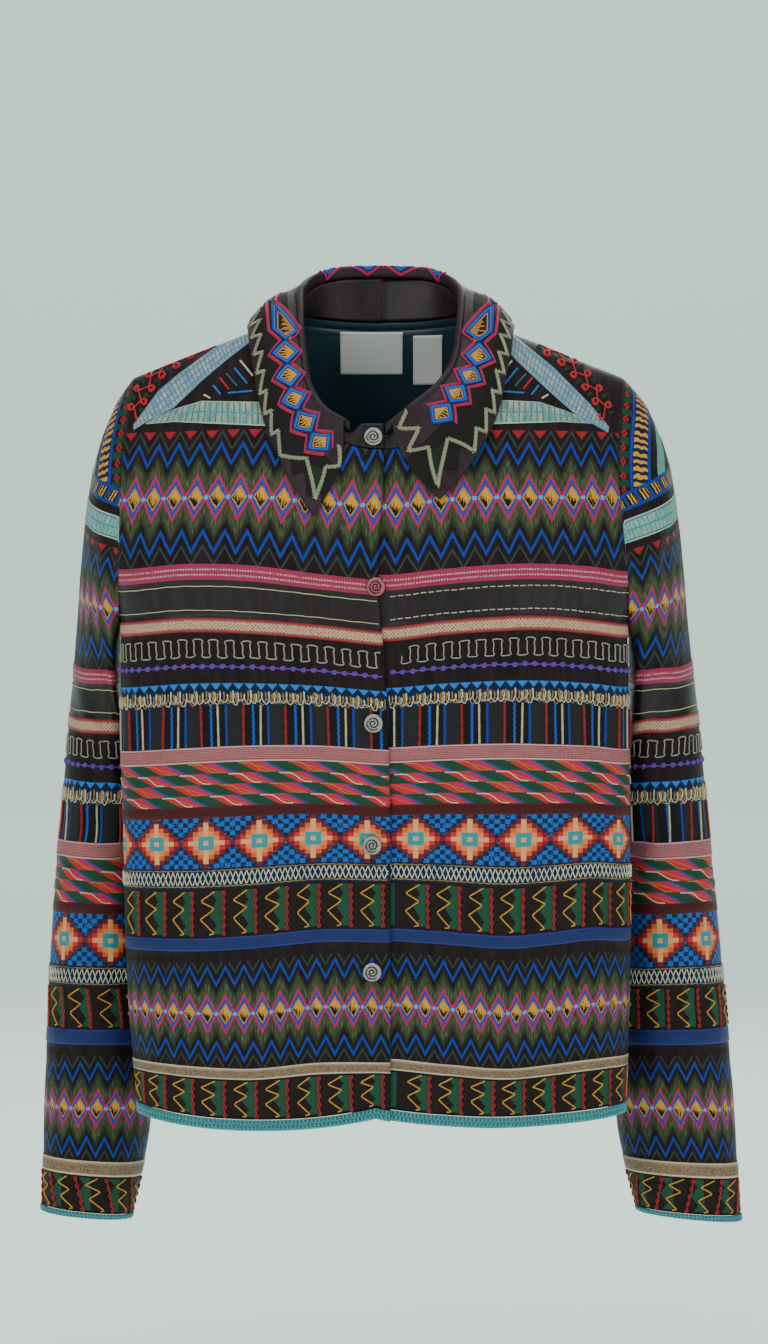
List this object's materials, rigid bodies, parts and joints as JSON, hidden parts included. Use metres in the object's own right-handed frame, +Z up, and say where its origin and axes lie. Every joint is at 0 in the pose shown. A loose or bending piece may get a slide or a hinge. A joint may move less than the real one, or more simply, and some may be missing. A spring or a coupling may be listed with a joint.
{
  "type": "embroidered jacket",
  "caption": "Hip-length button-front jacket with a pointed collar and long sleeves, in dark satin with bands of embroidery, braid and ribbon, worn form.",
  "frame": {"origin": "between the wearer's shoulders, level with the base of the collar, where the wearer holds it up", "axes": "+Z up, -Y out of the front, -X to the wearer's right"},
  "size_m": [0.6008, 0.2326, 0.8199],
  "materials": {
    "embroidered_satin": "dark plum satin covered with bands of coloured embroidery and ribbon",
    "collar_satin": "plum satin with raised stitched diamonds and zigzags",
    "plum_satin": "plain plum satin with a soft sheen",
    "lining_satin": "dark teal lining satin",
    "edge_braid": "teal looped braid",
    "label_tape": "white woven tape, blank",
    "button_metal": "dull pewter with a raised rim"
  },
  "bodies": {
    "root": {"front_right": "embroidered_satin", "front_left": "embroidered_satin", "back": "embroidered_satin", "sleeve_right": "embroidered_satin", "sleeve_left": "embroidered_satin", "collar_fall": "collar_satin", "collar_stand": "plum_satin", "back_lining": "lining_satin", "hem_braid_front_right": "edge_braid", "hem_braid_front_left": "edge_braid", "hem_braid_back": "edge_braid", "cuff_braid_right": "edge_braid", "cuff_braid_left": "edge_braid", "neck_label": "label_tape", "care_label": "label_tape", "button_1": "button_metal", "button_2": "button_metal", "button_3": "button_metal", "button_4": "button_metal", "button_5": "button_metal"}
  },
  "joints": []
}
